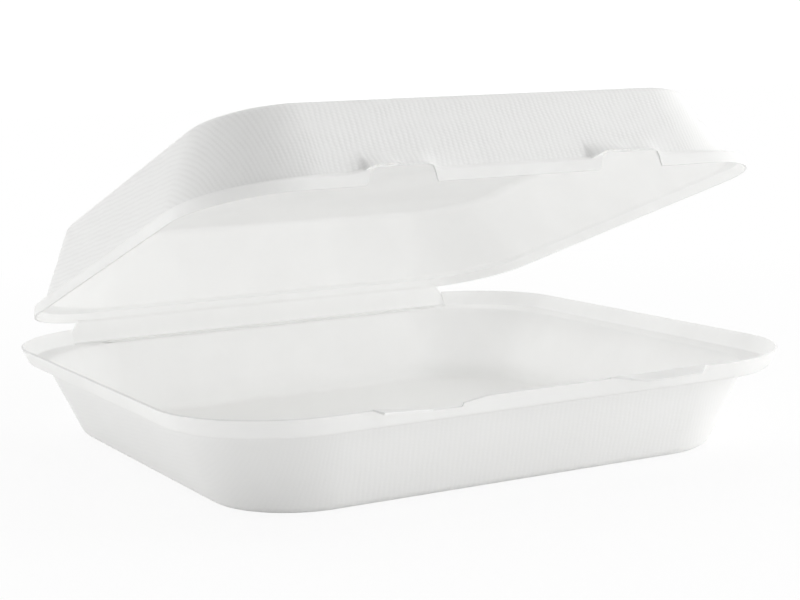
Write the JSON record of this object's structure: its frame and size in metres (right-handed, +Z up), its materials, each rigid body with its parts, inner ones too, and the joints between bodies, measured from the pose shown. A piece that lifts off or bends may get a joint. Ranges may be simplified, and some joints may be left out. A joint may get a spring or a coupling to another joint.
{
  "type": "bagasse clamshell box",
  "caption": "Square hinged takeaway box pressed from sugar-cane pulp: a shallow tray and a matching lid joined by a creased strip, with folded latch tongues.",
  "frame": {"origin": "centre of the tray floor's underside, on the table", "axes": "+Z up, +X to the right along the front edge, +Y from the front towards the hinge; the lid stands part open as in the picture"},
  "size_m": [0.2328, 0.2209, 0.1271],
  "materials": {
    "pulp": "matte"
  },
  "bodies": {
    "tray": {"base_tray": "pulp"},
    "strip": {"hinge_strip": "pulp"},
    "cover": {"lid": "pulp"}
  },
  "joints": [
    {"name": "base_crease", "type": "hinge", "parent": "tray", "child": "strip", "pos_m": [0, 0.1047, 0.02925], "axis": [-1, 0, 0], "range_deg": [-9.4, 77.9]},
    {"name": "lid_crease", "type": "hinge", "parent": "strip", "child": "cover", "pos_m": [0, 0.10587, 0.03757], "axis": [-1, 0, 0], "range_deg": [-9.4, 77.9]}
  ],
  "couplings": [
    {"joint": "lid_crease", "follows": "base_crease", "ratio": 1}
  ]
}
